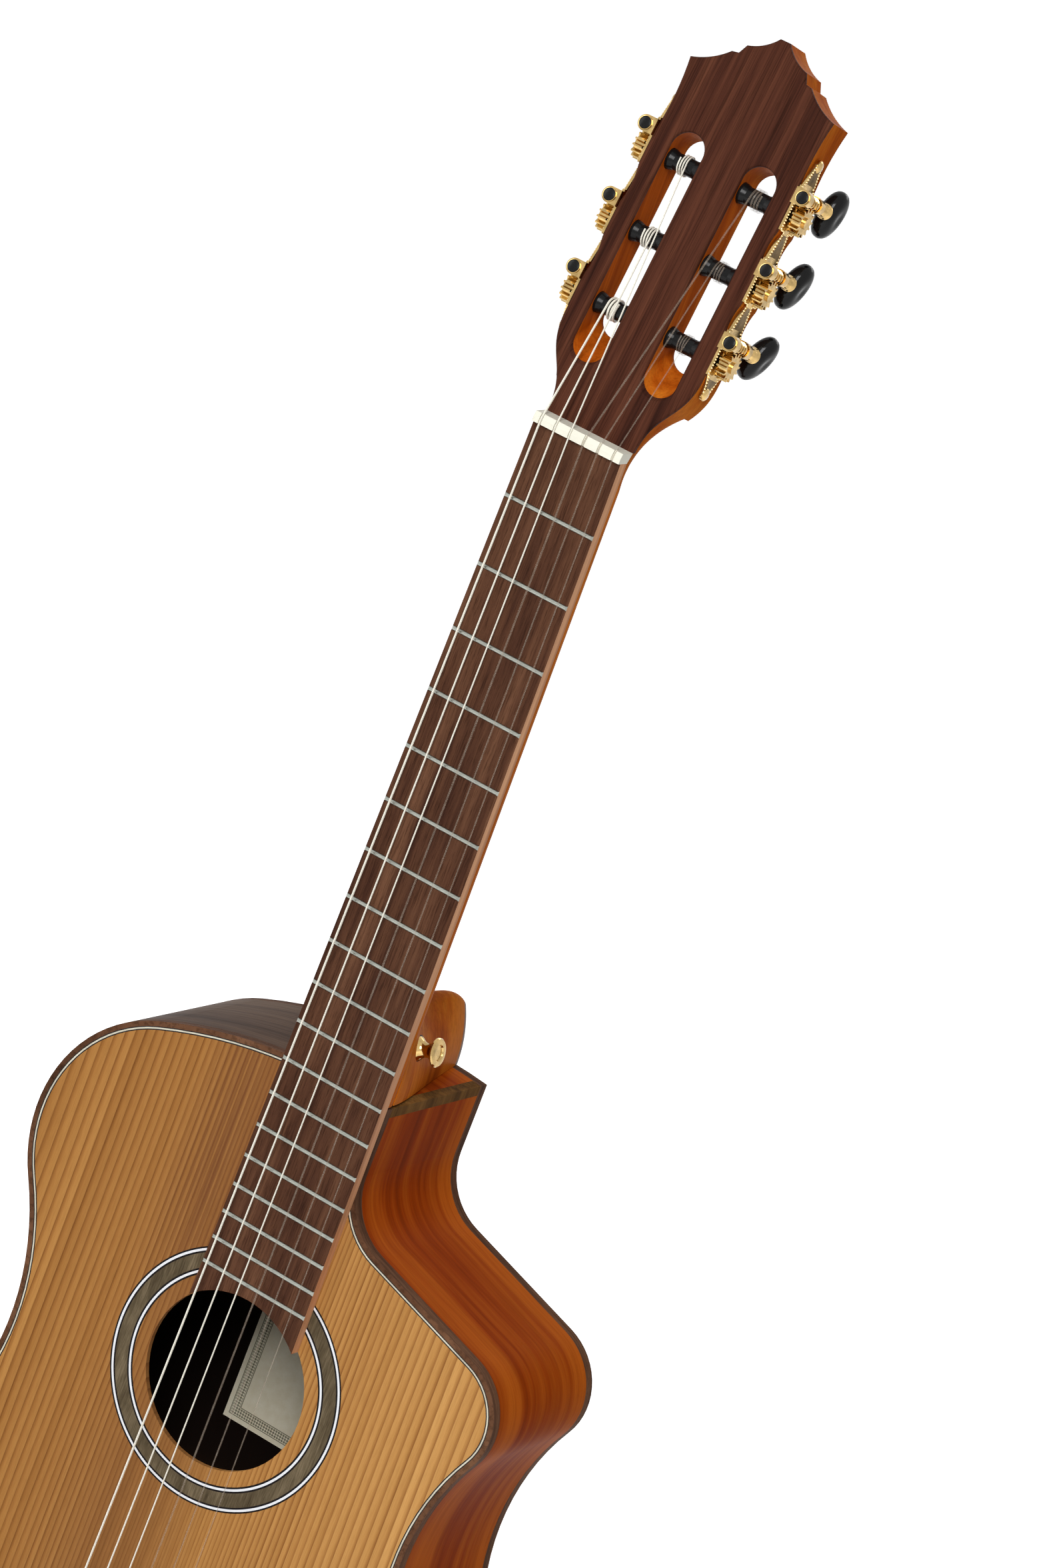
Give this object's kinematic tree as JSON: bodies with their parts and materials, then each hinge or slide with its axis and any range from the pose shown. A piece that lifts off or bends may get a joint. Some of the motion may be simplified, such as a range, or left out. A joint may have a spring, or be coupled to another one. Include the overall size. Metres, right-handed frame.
{
  "type": "acoustic-electric classical guitar",
  "caption": "Acoustic-electric classical guitar with a treble cutaway, slotted headstock, geared tuners, nylon strings and a built-in preamp.",
  "frame": {"origin": "mouth of the output jack, on the centre line at the tail", "axes": "+Z along the neck from the tail to the headstock, -Y out of the soundboard, +X to the treble side with the cutaway"},
  "size_m": [0.37, 0.1093, 1.0187],
  "materials": {
    "top_wood": "gloss",
    "side_wood": "gloss",
    "dark_wood": "satin",
    "binding_wood": "gloss",
    "purfling": "gloss",
    "inner_wood": "matte",
    "rosette": "gloss",
    "paper": "matte",
    "neck_wood": "satin",
    "veneer": "satin",
    "fret_wire": "polished",
    "bone": "satin",
    "black_plastic": "satin",
    "wound_string": "satin",
    "nylon": "gloss",
    "gilt": "polished",
    "plated_steel": "polished",
    "dial": "satin",
    "roller_plastic": "satin",
    "knob_plastic": "gloss"
  },
  "bodies": {
    "guitar": {"back_binding": "binding_wood", "back_braces": "inner_wood", "back_plate": "side_wood", "bass_side": "side_wood", "bass_strings": "wound_string", "bridge": "dark_wood", "cutaway_strip": "dark_wood", "end_blocks": "inner_wood", "fingerboard": "dark_wood", "frets": "fret_wire", "head_veneer": "veneer", "headstock": "neck_wood", "heel_cap": "dark_wood", "label": "paper", "linings": "inner_wood", "neck": "neck_wood", "nut": "bone", "output_jack": "plated_steel", "pickup": "black_plastic", "preamp_housing": "black_plastic", "preamp_panel": "black_plastic", "rosette": "rosette", "saddle": "bone", "soundboard": "top_wood", "strap_button": "gilt", "tie_inlay": "purfling", "top_binding": "binding_wood", "top_braces": "inner_wood", "top_purfling": "purfling", "treble_side": "side_wood", "treble_strings": "nylon", "tuner_plates": "gilt"},
    "spool_1": {"roller_1": "roller_plastic", "gear_1": "gilt"},
    "key_1": {"worm_1": "gilt", "knob_1": "knob_plastic"},
    "spool_2": {"roller_2": "roller_plastic", "gear_2": "gilt"},
    "key_2": {"worm_2": "gilt", "knob_2": "knob_plastic"},
    "spool_3": {"roller_3": "roller_plastic", "gear_3": "gilt"},
    "key_3": {"worm_3": "gilt", "knob_3": "knob_plastic"},
    "spool_4": {"roller_4": "roller_plastic", "gear_4": "gilt"},
    "key_4": {"worm_4": "gilt", "knob_4": "knob_plastic"},
    "spool_5": {"roller_5": "roller_plastic", "gear_5": "gilt"},
    "key_5": {"worm_5": "gilt", "knob_5": "knob_plastic"},
    "spool_6": {"roller_6": "roller_plastic", "gear_6": "gilt"},
    "key_6": {"worm_6": "gilt", "knob_6": "knob_plastic"},
    "volume_knob": {"volume_knob": "dial"},
    "tone_knob": {"tone_knob": "dial"},
    "tuner_button": {"tuner_button": "dial"},
    "battery_door": {"battery_door": "black_plastic"}
  },
  "joints": [
    {"name": "spool_1_turn", "type": "hinge", "parent": "guitar", "child": "spool_1", "pos_m": [0.022, -0.0257, 0.87965], "axis": [1, 0, 0], "continuous": true},
    {"name": "key_1_turn", "type": "hinge", "parent": "guitar", "child": "key_1", "pos_m": [0.0429, -0.02355, 0.88869], "axis": [0, 0.9728, -0.2317], "continuous": true},
    {"name": "spool_2_turn", "type": "hinge", "parent": "guitar", "child": "spool_2", "pos_m": [0.022, -0.01736, 0.91467], "axis": [1, 0, 0], "continuous": true},
    {"name": "key_2_turn", "type": "hinge", "parent": "guitar", "child": "key_2", "pos_m": [0.0429, -0.0152, 0.92371], "axis": [0, 0.9728, -0.2317], "continuous": true},
    {"name": "spool_3_turn", "type": "hinge", "parent": "guitar", "child": "spool_3", "pos_m": [0.022, -0.00902, 0.94969], "axis": [1, 0, 0], "continuous": true},
    {"name": "key_3_turn", "type": "hinge", "parent": "guitar", "child": "key_3", "pos_m": [0.0429, -0.00686, 0.95873], "axis": [0, 0.9728, -0.2317], "continuous": true},
    {"name": "spool_4_turn", "type": "hinge", "parent": "guitar", "child": "spool_4", "pos_m": [-0.022, -0.00902, 0.94969], "axis": [1, 0, 0], "continuous": true},
    {"name": "key_4_turn", "type": "hinge", "parent": "guitar", "child": "key_4", "pos_m": [-0.0429, -0.00686, 0.95873], "axis": [0, 0.9728, -0.2317], "continuous": true},
    {"name": "spool_5_turn", "type": "hinge", "parent": "guitar", "child": "spool_5", "pos_m": [-0.022, -0.01736, 0.91467], "axis": [1, 0, 0], "continuous": true},
    {"name": "key_5_turn", "type": "hinge", "parent": "guitar", "child": "key_5", "pos_m": [-0.0429, -0.0152, 0.92371], "axis": [0, 0.9728, -0.2317], "continuous": true},
    {"name": "spool_6_turn", "type": "hinge", "parent": "guitar", "child": "spool_6", "pos_m": [-0.022, -0.0257, 0.87965], "axis": [1, 0, 0], "continuous": true},
    {"name": "key_6_turn", "type": "hinge", "parent": "guitar", "child": "key_6", "pos_m": [-0.0429, -0.02355, 0.88869], "axis": [0, 0.9728, -0.2317], "continuous": true},
    {"name": "volume_knob_turn", "type": "hinge", "parent": "guitar", "child": "volume_knob", "pos_m": [-0.1472, -0.021, 0.419], "axis": [-1, 0, 0], "range_deg": [-135, 135]},
    {"name": "tone_knob_turn", "type": "hinge", "parent": "guitar", "child": "tone_knob", "pos_m": [-0.1472, -0.009, 0.419], "axis": [-1, 0, 0], "range_deg": [-135, 135]},
    {"name": "tuner_button_press", "type": "slide", "parent": "guitar", "child": "tuner_button", "axis": [1, 0, 0], "range_m": [0, 0.0008], "stiffness_N_per_m": 250, "springref_m": -0.0008},
    {"name": "battery_door_slide", "type": "slide", "parent": "guitar", "child": "battery_door", "axis": [0, 1, 0], "range_m": [0, 0.021]}
  ],
  "couplings": [
    {"joint": "key_1_turn", "follows": "spool_1_turn", "ratio": 14},
    {"joint": "key_2_turn", "follows": "spool_2_turn", "ratio": 14},
    {"joint": "key_3_turn", "follows": "spool_3_turn", "ratio": 14},
    {"joint": "key_4_turn", "follows": "spool_4_turn", "ratio": 14},
    {"joint": "key_5_turn", "follows": "spool_5_turn", "ratio": 14},
    {"joint": "key_6_turn", "follows": "spool_6_turn", "ratio": 14}
  ]
}
